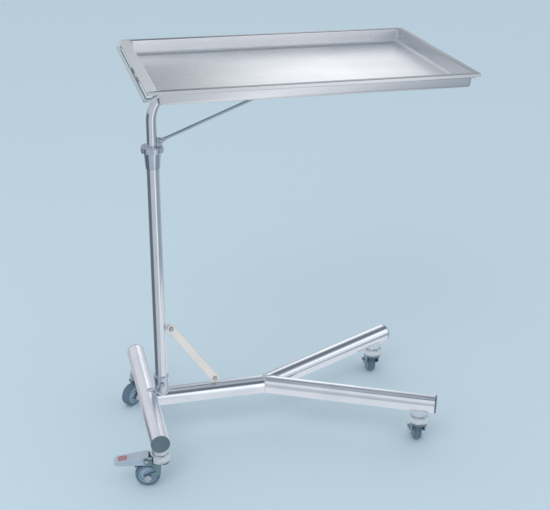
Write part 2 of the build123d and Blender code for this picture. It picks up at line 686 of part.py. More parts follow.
def wheel_tyre():
    """Solid tyre with rounded shoulders."""
    half = TYRE_WIDTH / 2
    tyre = wheel_turned([(RIM_R, -half), (RIM_R, half), (WHEEL_R, half), (WHEEL_R, -half)])
    shoulders = tyre.edges().filter_by(GeomType.CIRCLE).filter_by(lambda e: e.radius > WHEEL_R - 1)
    return fillet(shoulders, TYRE_SHOULDER)


def wheel_covers():
    """Thread guards that close the space between web and rim on both sides."""
    inner, outer, low, high = BOSS_R + 1.7, RIM_R - RIM - 0.3, HALF_WEB + 1.0, HALF_WEB + 3.5
    cover = [(inner, high + COVER), (outer, low + COVER), (outer, low), (inner, high)]
    return [wheel_turned(cover), wheel_turned([(r, -y) for r, y in cover])]


def pedal_wedge(heel_x, drop):
    """Side view of the pedal, from its heel to its tip, with its top lowered by a drop."""
    return make_face(Polyline(
        (heel_x, PEDAL_HEEL_LOW), (heel_x, PEDAL_HEEL_HIGH - drop),
        (PEDAL_TIP_X, PEDAL_TIP_HIGH - drop), (PEDAL_TIP_X, PEDAL_TIP_LOW), close=True,
    ))


def brake_pedal():
    """Wedge-shaped channel that turns on a pin above the wheel, closed at its tip."""
    half, inside = PEDAL_WIDTH / 2, PEDAL_WIDTH / 2 - PEDAL_WALL
    outer_side = Plane(origin=(0, half, 0), x_dir=(1, 0, 0), z_dir=(0, -1, 0))
    pedal = extrude(outer_side * pedal_wedge(PEDAL_HEEL_X, 0.0), PEDAL_WIDTH)
    tip = pedal.edges().filter_by(Axis.Z).filter_by(lambda e: e.center().X < PEDAL_TIP_X + 1)
    pedal = fillet(tip, PEDAL_TIP_CORNER)
    inner_side = Plane(origin=(0, inside, 0), x_dir=(1, 0, 0), z_dir=(0, -1, 0))
    channel = extrude(inner_side * pedal_wedge(PEDAL_HEEL_X + 1, PEDAL_PLATE), 2 * inside)
    channel &= slab(PEDAL_TIP_X + PEDAL_NOSE, 0, -half, half, PEDAL_TIP_LOW - 20, PEDAL_HEEL_HIGH)
    channel += slab(PEDAL_TIP_X + PEDAL_NOSE, 0, -inside, inside, 0, PEDAL_HEEL_LOW + 1)
    pedal -= channel
    return pedal - rod((PIVOT_X, -20, PIVOT_Z), (PIVOT_X, 20, PIVOT_Z), PIN_R + RUNNING)


def brake_shoe():
    """Shoe under the pedal: it clears the tyre by its gap when the pedal is fully pressed."""
    half = SHOE_WIDTH / 2
    back, front, foot_z = -TRAIL - SHOE_BACK, -TRAIL - SHOE_FRONT, WHEEL_R + SHOE_FOOT
    pressed = slab(back, front, -half, half, foot_z, PEDAL_HEEL_HIGH + 10)
    pressed -= rod((-TRAIL, -30, WHEEL_R), (-TRAIL, 30, WHEEL_R), WHEEL_R + SHOE_GAP)
    pivot = Pos(PIVOT_X, 0, PIVOT_Z)
    raised = pivot * Rot(0, PEDAL_SWING, 0) * pivot.inverse() * pressed
    return (raised - brake_pedal()).solids().sort_by(Axis.Z)[0]


def brake_pin():
    """Pin that the pedal turns on, riveted in the fork's ears."""
    half = FORK_INNER + FORK_WALL
    pin = rod((PIVOT_X, -half, PIVOT_Z), (PIVOT_X, half, PIVOT_Z), PIN_R)
    for side in (-1, 1):
        start, end = (PIVOT_X, side * half, PIVOT_Z), (PIVOT_X, side * (half + PIN_HEAD), PIVOT_Z)
        pin += rod(start, end, PIN_HEAD_R)
    return pin


def save_castor(name):
    """Write the pieces of one castor, turned to its resting direction and put in its place."""
    x, y = CASTOR_PLACES[name]
    turn = SWIVEL_ANGLES[name]
    place = Pos(x, y, 0) * Rot(0, 0, turn)
    heading = (0, 1, 0)
    if name.endswith("right"):
        side = -1 if name.startswith("near") else 1
        reach = math.radians(side * ARM_ANGLE)
        heading = (math.cos(reach), math.sin(reach), 0)
    fixed = Pos(x, y, 0)
    save(f"castor_cup_{name}", fixed * castor_cup(heading))
    save(f"castor_stem_{name}", fixed * castor_stem())
    save(f"castor_fork_{name}", place * castor_fork(name == "near_left"))
    save(f"castor_axle_{name}", place * castor_axle())
    save(f"wheel_hub_{name}", place * wheel_hub())
    save(f"wheel_tyre_{name}", place * wheel_tyre())
    save(f"wheel_covers_{name}", *[place * cover for cover in wheel_covers()])


def save_brake():
    """Write the brake's pieces on the near left castor."""
    x, y = CASTOR_PLACES["near_left"]
    place = Pos(x, y, 0) * Rot(0, 0, SWIVEL_ANGLES["near_left"])
    save("brake_pedal", place * brake_pedal())
    save("brake_shoe", place * brake_shoe())
    save("brake_pin", place * brake_pin())


os.makedirs("parts", exist_ok=True)

save("tray", tray())
save("frame_rod", frame_rod())
save("frame_end_bar", end_bar())
end_tip, far_tip = END_BAR_X + END_BAR_R, TRAY_RIGHT - FRAME_INSET + STRAP / 2
save("frame_end_strap", strap(END_STRAP_FOOT, end_tip, END_BAR_Z + END_BAR_R, END_STRAP_SCREWS))
save("frame_far_strap", strap(FAR_STRAP_FOOT, far_tip, FRAME_Z - 1, FAR_STRAP_SCREWS))
save("end_strap_screws", *strap_screws(END_STRAP_SCREWS))
save("far_strap_screws", *strap_screws(FAR_STRAP_SCREWS))
save("inner_tube_and_arm", inner_tube())
save("inner_guide_bush", guide_bush())
save("arm_end_cap", arm_cap())
save("brace_rod", brace_rod())
save("brace_lugs", *brace_lugs())
save("brace_screws", *brace_screws())
save("outer_post", tube((0, 0, BASE_Z + BASE_R), (0, 0, POST_TOP_Z), OUTER_R, OUTER_BORE_R))
save("post_foot_socket", foot_socket())
save("foot_socket_screw", socket_screw())
save("clamp_sleeve", clamp_sleeve())
save("clamp_ring", clamp_ring())
save("clamp_collet", collet())
save("base_cross_tube", cross_tube())
save("base_main_beam", main_beam())
save("base_arm_near", base_arm(-1, "near_right"))
save("base_arm_far", base_arm(1, "far_right"))
save("base_end_plugs", *end_plugs())
save("gusset_tabs", *gusset_tabs())
save("gusset_strut", gusset())
save("gusset_screws", *gusset_screws())
all_balls = []
for castor, (castor_x, castor_y) in CASTOR_PLACES.items():
    save_castor(castor)
    all_balls += [Pos(castor_x, castor_y, 0) * ball for ball in castor_balls()]
save("castor_bearing_balls", *all_balls)
save_brake()
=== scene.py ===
"""Rolling instrument stand: materials, detailed meshes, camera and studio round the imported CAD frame."""
import math

import bmesh
import bpy
from mathutils import Matrix, Vector


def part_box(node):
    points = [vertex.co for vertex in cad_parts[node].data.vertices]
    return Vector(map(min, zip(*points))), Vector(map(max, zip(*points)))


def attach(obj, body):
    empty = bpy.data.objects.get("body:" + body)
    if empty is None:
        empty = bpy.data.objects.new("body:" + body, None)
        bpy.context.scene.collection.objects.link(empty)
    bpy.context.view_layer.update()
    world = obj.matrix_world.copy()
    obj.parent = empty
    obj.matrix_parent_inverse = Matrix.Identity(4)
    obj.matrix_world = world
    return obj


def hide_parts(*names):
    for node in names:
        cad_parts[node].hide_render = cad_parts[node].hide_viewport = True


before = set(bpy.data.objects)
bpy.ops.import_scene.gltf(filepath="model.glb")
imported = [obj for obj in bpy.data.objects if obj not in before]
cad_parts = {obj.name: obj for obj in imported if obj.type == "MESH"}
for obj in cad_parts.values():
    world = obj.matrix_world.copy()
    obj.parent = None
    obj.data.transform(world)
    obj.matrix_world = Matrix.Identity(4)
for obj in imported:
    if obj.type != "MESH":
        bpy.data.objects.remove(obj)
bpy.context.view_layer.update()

# Camera: the place, heading and lens that show the stand as it is usually pictured
CAMERA_PLACE = Vector((-0.470, -1.9255, 1.277))
CAMERA_HEADING = math.radians(14.25)
CAMERA_DROP = math.radians(23.78)
CAMERA_ROLL = math.radians(0.49)
CAMERA_LENS = 69.4

FLOOR_SIZE = 60.0
UNDER_BASE = (0.12, -0.10, 0.0)
FLOOR_COLOUR = (0.64, 0.78, 0.86, 1)
BACKDROP = (0.54, 0.67, 0.76, 1)

# Brightness of what polished metal sees round the stand; only reflections see it. The FLOOR values are
# painted reflection: the floor glows with them, seen only in reflections
FLOOR_NEAR = 0.85
FLOOR_FRONT = 0.62
FLOOR_WHITE = 1.10
FLOOR_LEFT = 0.18
FLOOR_RIGHT = 0.40
FLOOR_BACK = 0.55
SKY_TOP = 0.30
SKY_SIDE = 0.50
SKY_SHADE = 0.20
SKY_FRONT = 0.60
SKY_LEFT = 0.85
SKY_BACK = 0.74
SKY_BLUE = 0.42
SKY_WHITE = 1.35
SOFT_LIGHT = 0.80
KEY_POWER = 30.0

# Sizes of the stand, in metres
MM = 0.001
TRAY_GRIP = 18 * MM
TRAY_FLANGE = 10 * MM
TRAY_SHEET = 1 * MM
TRAY_FLARE = 3 * MM
TRAY_LIP = 6 * MM
TRAY_CORNER = 8 * MM
HOLD = 0.5 * MM
TUBE_R = 19 * MM
SOCKET_R = 15 * MM
NECK_R = 16 * MM
CUP_R = 20.5 * MM
CUP_TOP = 74 * MM
NECK_TOP = 91 * MM
STEM_BORE_R = 5.1 * MM
CUP_CEILING = 62.8 * MM
WHEEL_R = 25 * MM
RIM_R = 18 * MM
TYRE_HALF = 9.0 * MM
PEDAL_HEEL = (22.5 * MM, 71 * MM)
PEDAL_TIP = (91 * MM, 60 * MM)
PAD_MIDDLE = 74 * MM
FLOOR_BEND = 5.0 * MM
CORNERS = ("near_left", "far_left", "near_right", "far_right")


# ---------------------------------------------------------------- camera and studio


def make_camera():
    """Camera to the left of the stand's front, a little above the tray, looking down on it."""
    data = bpy.data.cameras.new("camera")
    data.sensor_width = 36.0
    data.lens = CAMERA_LENS
    data.clip_end = 200.0
    camera = bpy.data.objects.new("camera", data)
    bpy.context.scene.collection.objects.link(camera)
    turn = Matrix.Rotation(-CAMERA_HEADING, 4, "Z") @ Matrix.Rotation(math.pi / 2 - CAMERA_DROP, 4, "X")
    turn = turn @ Matrix.Rotation(CAMERA_ROLL, 4, "Z")
    camera.matrix_world = Matrix.Translation(CAMERA_PLACE) @ turn
    bpy.context.scene.camera = camera


class Surround:
    """Node builder for brightness over azimuth and elevation, for the world and the floor's reflection."""

    def __init__(self, tree, x, y, z=None):
        self.tree = tree
        self.azimuth = self.math("ARCTAN2", x, y)
        self.elevation = None if z is None else self.math("ARCSINE", z)

    def math(self, operation, *values):
        """Result of one Math node on numbers or sockets."""
        node = self.tree.nodes.new("ShaderNodeMath")
        node.operation = operation
        for socket, value in zip(node.inputs, values):
            if isinstance(value, (int, float)):
                socket.default_value = value
            else:
                self.tree.links.new(value, socket)
        return node.outputs[0]

    def ramp(self, away, start, end):
        """One where a value is below start, falling smoothly to zero at end, in degrees."""
        node = self.tree.nodes.new("ShaderNodeMapRange")
        node.interpolation_type = "SMOOTHSTEP"
        self.tree.links.new(away, node.inputs["Value"])
        node.inputs["From Min"].default_value = math.radians(start)
        node.inputs["From Max"].default_value = math.radians(end)
        node.inputs["To Min"].default_value = 1.0
        node.inputs["To Max"].default_value = 0.0
        return node.outputs["Result"]

    def across(self, centre, half, soft):
        """One within half of an azimuth, falling to zero over the soft edge, in degrees."""
        turned = self.math("SUBTRACT", self.azimuth, math.radians(centre))
        wrapped = self.math("WRAP", turned, math.pi, -math.pi)
        return self.ramp(self.math("ABSOLUTE", wrapped), half, half + soft)

    def up(self, centre, half, soft):
        """One within half of an elevation, falling to zero over the soft edge, in degrees."""
        away = self.math("SUBTRACT", self.elevation, math.radians(centre))
        return self.ramp(self.math("ABSOLUTE", away), half, half + soft)

    def mix(self, factor, below, above):
        """Colour that moves from below to above with the factor; either may be a socket."""
        node = self.tree.nodes.new("ShaderNodeMix")
        node.data_type = "RGBA"
        self.tree.links.new(factor, node.inputs["Factor"])
        for key, colour in (("A", below), ("B", above)):
            if isinstance(colour, tuple):
                node.inputs[key].default_value = colour
            else:
                self.tree.links.new(colour, node.inputs[key])
        return node.outputs["Result"]


def grey(value, cool=0.06):
    """Cool grey of a brightness."""
    return (value * (1 - cool), value, value * (1 + cool), 1)


def make_floor():
    """Plain pale floor; polished metal sees a painted reflection on it, a glow bright in front and dark at
    the sides.
    """
    half = FLOOR_SIZE / 2
    mesh = bpy.data.meshes.new("studio_floor")
    corners = [(-half, -half, 0), (half, -half, 0), (half, half, 0), (-half, half, 0)]
    mesh.from_pydata(corners, [], [(0, 1, 2, 3)])
    floor = bpy.data.objects.new("studio_floor", mesh)
    bpy.context.scene.collection.objects.link(floor)
    material = bpy.data.materials.new("studio_floor")
    material.use_nodes = True
    tree = material.node_tree
    shader = tree.nodes["Principled BSDF"]
    shader.inputs["Base Color"].default_value = FLOOR_COLOUR
    shader.inputs["Roughness"].default_value = 0.9
    shader.inputs["Specular IOR Level"].default_value = 0.1
    place = tree.nodes.new("ShaderNodeTexCoord").outputs["Object"]
    split = tree.nodes.new("ShaderNodeSeparateXYZ")
    tree.links.new(place, split.inputs[0])
    post_x = sum(corner.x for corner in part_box("outer_post")) / 2
    shift = tree.nodes.new("ShaderNodeMath")
    shift.inputs[1].default_value = -post_x
    tree.links.new(split.outputs[0], shift.inputs[0])
    round_post = Surround(tree, shift.outputs[0], split.outputs[1])
    colour = round_post.mix(round_post.across(-80.0, 30.0, 14.0), grey(FLOOR_BACK), grey(FLOOR_LEFT, 0.2))
    colour = round_post.mix(round_post.across(112.0, 26.0, 16.0), colour, grey(FLOOR_RIGHT, 0.15))
    colour = round_post.mix(round_post.across(187.0, 38.0, 16.0), colour, grey(FLOOR_FRONT))
    colour = round_post.mix(round_post.across(159.0, 3.0, 11.0), colour, grey(FLOOR_WHITE, 0.02))
    away = tree.nodes.new("ShaderNodeVectorMath")
    away.operation = "DISTANCE"
    away.inputs[1].default_value = UNDER_BASE
    tree.links.new(place, away.inputs[0])
    near = round_post.ramp(away.outputs["Value"], math.degrees(0.35), math.degrees(0.60))
    colour = round_post.mix(near, colour, grey(FLOOR_NEAR, 0.03))
    # Painted reflection: the floor glows with these shades, and only glossy rays see the glow
    painted_reflection_glow = tree.nodes.new("ShaderNodeEmission")
    tree.links.new(colour, painted_reflection_glow.inputs["Color"])
    seen = tree.nodes.new("ShaderNodeLightPath").outputs["Is Glossy Ray"]
    mix = tree.nodes.new("ShaderNodeMixShader")
    tree.links.new(seen, mix.inputs[0])
    tree.links.new(shader.outputs[0], mix.inputs[1])
    tree.links.new(painted_reflection_glow.outputs[0], mix.inputs[2])
    tree.links.new(mix.outputs[0], tree.nodes["Material Output"].inputs["Surface"])
    mesh.materials.append(material)


def make_world():
    """Soft studio. Reflections see the patches, other light is even, and the camera sees a backdrop."""
    world = bpy.data.worlds.new("studio")
    bpy.context.scene.world = world
    world.use_nodes = True
    tree = world.node_tree
    tree.nodes.clear()
    split = tree.nodes.new("ShaderNodeSeparateXYZ")
    tree.links.new(tree.nodes.new("ShaderNodeTexCoord").outputs["Generated"], split.inputs[0])
    sky = Surround(tree, *split.outputs)
    # Each patch: (middle, half, soft edge) of azimuth, the same of elevation, in degrees, and shade
    patches = (
        ((0.0, 180.0, 1.0), (90.0, 26.0, 12.0), grey(SKY_TOP, 0.15)),
        ((58.0, 20.0, 14.0), (49.0, 5.0, 9.0), grey(SKY_SHADE, 0.15)),
        ((150.0, 30.0, 16.0), (48.0, 14.0, 12.0), grey(SKY_SHADE, 0.15)),
        ((222.0, 24.0, 16.0), (45.0, 18.0, 10.0), grey(SKY_LEFT, 0.03)),
        ((112.0, 14.0, 14.0), (5.0, 28.0, 14.0), grey(SKY_WHITE, 0.02)),
        ((187.0, 60.0, 30.0), (5.0, 18.0, 14.0), grey(SKY_FRONT)),
        ((168.0, 3.0, 6.0), (5.0, 22.0, 12.0), grey(SKY_WHITE, 0.02)),
        ((4.0, 48.0, 20.0), (12.0, 22.0, 16.0), grey(SKY_BACK, 0.05)),
        ((5.6, 2.4, 5.0), (12.0, 12.0, 12.0), grey(SKY_BLUE, 0.08)),
        ((17.0, 0.3, 8.5), (14.0, 16.0, 12.0), grey(SKY_WHITE, 0.01)),
    )
    colour = grey(SKY_SIDE)
    for azimuth, elevation, shade in patches:
        inside = sky.math("MULTIPLY", sky.across(*azimuth), sky.up(*elevation))
        colour = sky.mix(inside, colour, shade)
    studio = tree.nodes.new("ShaderNodeBackground")
    tree.links.new(colour, studio.inputs["Color"])
    soft = tree.nodes.new("ShaderNodeBackground")
    soft.inputs["Color"].default_value = (0.92, 0.96, 1.0, 1)
    soft.inputs["Strength"].default_value = SOFT_LIGHT
    backdrop = tree.nodes.new("ShaderNodeBackground")
    backdrop.inputs["Color"].default_value = BACKDROP
    rays = tree.nodes.new("ShaderNodeLightPath")
    lit = tree.nodes.new("ShaderNodeMixShader")
    tree.links.new(rays.outputs["Is Glossy Ray"], lit.inputs[0])
    tree.links.new(soft.outputs[0], lit.inputs[1])
    tree.links.new(studio.outputs[0], lit.inputs[2])
    seen = tree.nodes.new("ShaderNodeMixShader")
    tree.links.new(rays.outputs["Is Camera Ray"], seen.inputs[0])
    tree.links.new(lit.outputs[0], seen.inputs[1])
    tree.links.new(backdrop.outputs[0], seen.inputs[2])
    output = tree.nodes.new("ShaderNodeOutputWorld")
    tree.links.new(seen.outputs[0], output.inputs["Surface"])


def make_light(name, place, target, size, power):
    """Square soft light aimed at a point, not seen by the camera."""
    data = bpy.data.lights.new(name, "AREA")
    data.shape = "SQUARE"
    data.size = size
    data.energy = power
    light = bpy.data.objects.new(name, data)
    bpy.context.scene.collection.objects.link(light)
    aim = (Vector(target) - Vector(place)).to_track_quat("-Z", "Y")
    light.matrix_world = Matrix.Translation(place) @ aim.to_matrix().to_4x4()
    light.visible_camera = False
    light.visible_glossy = False


# ---------------------------------------------------------------- materials


class Finish:
    """Node builder for one procedural material."""

    def __init__(self, name, colour, metallic, roughness):
        self.material = bpy.data.materials.new(name)
        self.material.use_nodes = True
        self.tree = self.material.node_tree
        self.shader = self.tree.nodes["Principled BSDF"]
        self.shader.inputs["Base Color"].default_value = (*colour, 1)
        self.shader.inputs["Metallic"].default_value = metallic
        self.shader.inputs["Roughness"].default_value = roughness
        self.colour = colour
        self.roughness = roughness
        self.place = self.tree.nodes.new("ShaderNodeTexCoord").outputs["Object"]

    def noise(self, scale, stretch=(1, 1, 1), detail=3.0):
        """Noise in metres, finer across the stretched axes."""
        mapping = self.tree.nodes.new("ShaderNodeMapping")
        mapping.inputs["Scale"].default_value = stretch
        self.tree.links.new(self.place, mapping.inputs["Vector"])
        noise = self.tree.nodes.new("ShaderNodeTexNoise")
        noise.inputs["Scale"].default_value = scale
        noise.inputs["Detail"].default_value = detail
        self.tree.links.new(mapping.outputs[0], noise.inputs["Vector"])
        return noise.outputs["Fac"]

    def spread(self, value, low, high, start=0.3, end=0.7):
        """Value mapped from start..end to low..high."""
        node = self.tree.nodes.new("ShaderNodeMapRange")
        self.tree.links.new(value, node.inputs["Value"])
        node.inputs["From Min"].default_value = start
        node.inputs["From Max"].default_value = end
        node.inputs["To Min"].default_value = low
        node.inputs["To Max"].default_value = high
        return node.outputs["Result"]

    def add(self, first, second):
        """Sum of two values."""
        node = self.tree.nodes.new("ShaderNodeMath")
        node.operation = "ADD"
        self.tree.links.new(first, node.inputs[0])
        self.tree.links.new(second, node.inputs[1])
        return node.outputs[0]

    def tint(self, factor, other):
        """Base colour that moves towards another as the factor rises."""
        node = self.tree.nodes.new("ShaderNodeMix")
        node.data_type = "RGBA"
        node.inputs["A"].default_value = (*self.colour, 1)
        node.inputs["B"].default_value = (*other, 1)
        self.tree.links.new(factor, node.inputs["Factor"])
        self.tree.links.new(node.outputs["Result"], self.shader.inputs["Base Color"])

    def rough(self, value):
        """Roughness taken from a value."""
        self.tree.links.new(value, self.shader.inputs["Roughness"])

    def bump(self, height, distance, strength=1.0):
        """Surface relief of the given depth in metres."""
        node = self.tree.nodes.new("ShaderNodeBump")
        node.inputs["Distance"].default_value = distance
        node.inputs["Strength"].default_value = strength
        self.tree.links.new(height, node.inputs["Height"])
        self.tree.links.new(node.outputs[0], self.shader.inputs["Normal"])


def sheet_steel(name, colour, other, roughness):
    """Polished stainless sheet: a fine grain along the tray, wiping marks and a slight waviness."""
    finish = Finish(name, colour, 1.0, roughness)
    grain = finish.noise(900.0, (0.02, 1, 1), 2.0)
    wiped = finish.noise(9.0, (0.5, 1, 1))
    dulled = finish.spread(wiped, roughness - 0.03, roughness + 0.03)
    finish.rough(finish.add(finish.spread(grain, -0.02, 0.03), dulled))
    finish.tint(finish.spread(wiped, 0.0, 1.0), other)
    finish.bump(grain, 0.000006)
    return finish.material


def plated(name, colour, other, roughness):
    """Bright plate with faint smears and a fine orange peel."""
    finish = Finish(name, colour, 1.0, roughness)
    smear = finish.noise(14.0)
    fine = finish.noise(600.0, detail=2.0)
    dulled = finish.spread(smear, roughness - 0.03, roughness + 0.05)
    finish.rough(finish.add(finish.spread(fine, -0.01, 0.02), dulled))
    finish.tint(finish.spread(smear, 0.0, 1.0), other)
    finish.bump(fine, 0.000004)
    return finish.material


def moulded(name, colour, other, roughness):
    """Moulded plastic, rubber or paint with a fine texture."""
    finish = Finish(name, colour, 0.0, roughness)
    fine = finish.noise(1500.0, detail=2.0)
    dull = finish.noise(40.0)
    finish.rough(finish.spread(dull, roughness - 0.08, roughness + 0.1))
    finish.tint(finish.spread(dull, 0.0, 1.0), other)
    finish.bump(fine, 0.00003)
    return finish.material


def make_materials():
    """One material for each slot of the record, and seven for single pieces or faces."""
    return {
        "tray_steel": sheet_steel("tray_steel", (0.78, 0.79, 0.82), (0.72, 0.74, 0.78), 0.24),
        # Dark copy of the tray steel for the flange top: a painted dark reflection
        "tray_flange_painted_reflection": sheet_steel("tray_flange_painted_reflection", (0.30, 0.32, 0.35), (0.26, 0.28, 0.32), 0.30),
        # Lighter, rougher copy for the bend round the floor: painted highlight over the dark reflected
        # streak
        "tray_bend_painted_highlight": sheet_steel("tray_bend_painted_highlight", (0.90, 0.91, 0.93), (0.84, 0.86, 0.89), 0.55),
        # Near-white copy for the wide grip flange at the left end: painted highlight
        "tray_grip_painted_highlight": sheet_steel("tray_grip_painted_highlight", (0.97, 0.97, 0.98), (0.92, 0.93, 0.95), 0.32),
        # Darker copy for the tray floor: painted shade
        "tray_floor_painted_shade": sheet_steel("tray_floor_painted_shade", (0.72, 0.73, 0.75), (0.67, 0.69, 0.72), 0.26),
        "frame_steel": plated("frame_steel", (0.62, 0.66, 0.70), (0.55, 0.59, 0.64), 0.16),
        "tube_chrome": plated("tube_chrome", (0.80, 0.83, 0.88), (0.72, 0.76, 0.83), 0.12),
        "cross_tube_chrome": plated("cross_tube_chrome", (0.88, 0.88, 0.93), (0.82, 0.83, 0.90), 0.26),
        "fitting_chrome": plated("fitting_chrome", (0.62, 0.68, 0.76), (0.52, 0.59, 0.68), 0.18),
        "brace_steel": plated("brace_steel", (0.42, 0.50, 0.55), (0.36, 0.44, 0.50), 0.25),
        "gusset_steel": plated("gusset_steel", (0.92, 0.91, 0.88), (0.84, 0.83, 0.80), 0.40),
        "castor_plate": plated("castor_plate", (0.66, 0.72, 0.78), (0.56, 0.63, 0.70), 0.26),
        # Dark teal fork: painted shade, darkened to stand for a fork leg in shadow
        "fork_plate": plated("fork_plate", (0.16, 0.25, 0.30), (0.22, 0.32, 0.38), 0.36),
        "fastener_steel": plated("fastener_steel", (0.50, 0.54, 0.58), (0.40, 0.44, 0.50), 0.24),
        "tyre_rubber": moulded("tyre_rubber", (0.11, 0.18, 0.24), (0.14, 0.22, 0.29), 0.6),
        "hub_plastic": moulded("hub_plastic", (0.42, 0.54, 0.66), (0.36, 0.47, 0.60), 0.45),
        "cover_plastic": moulded("cover_plastic", (0.40, 0.52, 0.64), (0.34, 0.46, 0.58), 0.5),
        "pedal_paint": moulded("pedal_paint", (0.50, 0.58, 0.66), (0.42, 0.50, 0.58), 0.4),
        "pedal_red": moulded("pedal_red", (0.48, 0.24, 0.27), (0.40, 0.19, 0.22), 0.5),
        "shoe_rubber": moulded("shoe_rubber", (0.05, 0.05, 0.06), (0.07, 0.07, 0.08), 0.7),
        "guide_plastic": moulded("guide_plastic", (0.7, 0.7, 0.68), (0.6, 0.6, 0.58), 0.5),
        "plug_plastic": moulded("plug_plastic", (0.11, 0.16, 0.19), (0.15, 0.20, 0.24), 0.5),
    }


# ---------------------------------------------------------------- mesh pieces


def make_piece(name, points, faces, slot, body, stands_for=(), crease=35.0):
    """Mesh piece in the finish of a slot, which rides on a body and may stand for CAD nodes."""
    mesh = bpy.data.meshes.new(name)
    mesh.from_pydata(points, [], faces)
    shape = bmesh.new()
    shape.from_mesh(mesh)
    bmesh.ops.recalc_face_normals(shape, faces=shape.faces)
    shape.to_mesh(mesh)
    shape.free()
    mesh.shade_smooth()
    mesh.set_sharp_from_angle(angle=math.radians(crease))
    piece = bpy.data.objects.new(name, mesh)
    bpy.context.scene.collection.objects.link(piece)
    mesh.materials.append(MATERIALS[slot])
    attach(piece, body)
    if stands_for:
        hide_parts(*stands_for)
    return piece


def bridge(loops, closed=True):
    """Faces between successive loops of equal length, numbered in one list of points."""
    count = len(loops[0])
    faces = []
    pairs = len(loops) if closed else len(loops) - 1
    for i in range(pairs):
        low, high = i * count, (i + 1) % len(loops) * count
        for j in range(count):
            k = (j + 1) % count
            faces.append((low + j, low + k, high + k, high + j))
    return faces


def rounded_loop(x0, x1, y0, y1, z, corner, steps=8):
    """Points round a rectangle with round corners."""
    points = []
    centres = ((x1, y1, 0), (x0, y1, 90), (x0, y0, 180), (x1, y0, 270))
    for x, y, start in centres:
        middle_x = x - corner if x == x1 else x + corner
        middle_y = y - corner if y == y1 else y + corner
        for i in range(steps + 1):
            angle = math.radians(start + 90 * i / steps)
            points.append((middle_x + corner * math.cos(angle), middle_y + corner * math.sin(angle), z))
    return points


def make_tray():
    """Pressed tray: rounded lip, flange, soft bend into flared walls, and a bend round the floor."""
    low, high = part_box("tray")
    rim, depth = high.z, high.z - low.z
    extra = TRAY_GRIP - TRAY_FLANGE

    def wall(drop, radius_side):
        """Inset of the wall's surface at a depth below the rim."""
        return TRAY_FLANGE + radius_side + TRAY_FLARE * drop / depth

    def arc(inset, z, radius, start, end, steps=5):
        """Points of a bend as (inset, drop) about its middle."""
        turns = [math.radians(start + (end - start) * i / steps) for i in range(steps + 1)]
        return [(inset + radius * math.cos(t), z - radius * math.sin(t)) for t in turns]

    def held(first, second):
        """Two bends and the flat run between them, with a point just inside each end of the run."""
        start, end = Vector(first[-1]), Vector(second[0])
        step = (end - start).normalized() * HOLD
        return first + [tuple(start + step), tuple(end - step)] + second

    floor_in, floor_out = depth - TRAY_SHEET, depth
    bend, shoulder, edge = FLOOR_BEND, 1.6 * MM, 0.9 * MM
    lip_bend = [(0.0, TRAY_LIP)] + arc(edge, edge, edge, 180, 90)
    wall_bend = arc(TRAY_FLANGE + TRAY_SHEET - shoulder, shoulder, shoulder, 90, 6)
    floor_bend = arc(wall(floor_in - bend, TRAY_SHEET) + bend, floor_in - bend, bend, 186, 270)
    top = held(held(lip_bend, wall_bend), floor_bend)
    top.append((top[-1][0] + HOLD, floor_in))
    under_inset = wall(floor_out - bend, 0.0) + bend
    under = arc(under_inset, floor_out - bend - TRAY_SHEET, bend + TRAY_SHEET, 270, 186)
    under.insert(0, (under[0][0] + HOLD, floor_out))
    under += [(TRAY_FLANGE - 0.2 * MM, TRAY_SHEET + 0.8 * MM), (TRAY_FLANGE - 1.0 * MM, TRAY_SHEET)]
    under += [(TRAY_SHEET, TRAY_SHEET), (TRAY_SHEET, TRAY_LIP)]
    loops = []
    for inset, drop in top + under:
        inside = inset > TRAY_FLANGE - 2.5 * MM
        left = inset + (extra if inside else 0.0)
        corner = max(TRAY_CORNER + TRAY_FLANGE - inset, 3.0 * MM) if inside else 1.4 * MM
        corner = min(corner, TRAY_CORNER + TRAY_SHEET) if inside else corner
        sides = (low.x + left, high.x - inset, low.y + inset, high.y - inset)
        loops.append(rounded_loop(*sides, rim - drop, corner))
    points = [point for loop in loops for point in loop]
    count, floor_loop = len(loops[0]), len(top) - 1
    faces = []
    for face in bridge(loops):
        if min(face) // count != floor_loop or max(face) // count != floor_loop + 1:
            faces.append(face)
    faces.append(tuple(floor_loop * count + i for i in range(count)))
    faces.append(tuple((floor_loop + 1) * count + i for i in range(count)))
    tray = make_piece("pressed_tray", points, faces, "tray_steel", "tray", ("tray",))
    # Painted light and shade on the tray: the floor, the flange top, the grip flange and the floor bend
    # take darker and lighter copies of the same steel
    for finish in ("tray_floor_painted_shade", "tray_flange_painted_reflection", "tray_grip_painted_highlight", "tray_bend_painted_highlight"):
        tray.data.materials.append(MATERIALS[finish])
    for face in tray.data.polygons:
        if len(face.vertices) > 4:
            face.material_index = 1
        elif face.normal.z > 0.5 and face.center.z > rim - 1.0 * MM:
            face.material_index = 2 if face.center.x > low.x + TRAY_GRIP else 3
        elif face.normal.z > 0.15 and face.center.z < low.z + TRAY_SHEET + bend:
            face.material_index = 4


def lathe(name, profile, place, turn, slot, body, stands_for=(), segments=72):
    """Closed solid turned from (radius, height) points about an axis through a place."""
    loops = []
    for radius, height in profile:
        ring = []
        for i in range(segments):
            angle = 2 * math.pi * i / segments
            local = Vector((radius * math.cos(angle), radius * math.sin(angle), height))
            ring.append(tuple(place + turn @ local))
        loops.append(ring)
    points = [point for loop in loops for point in loop]
    return make_piece(name, points, bridge(loops), slot, body, stands_for)


def castor_stem_place(name):
    """Axis of a castor on the floor, and the axle's middle."""
    low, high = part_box(f"castor_stem_{name}")
    stem = Vector(((low.x + high.x) / 2, (low.y + high.y) / 2, 0))
    low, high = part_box(f"wheel_tyre_{name}")
    return stem, (low + high) / 2


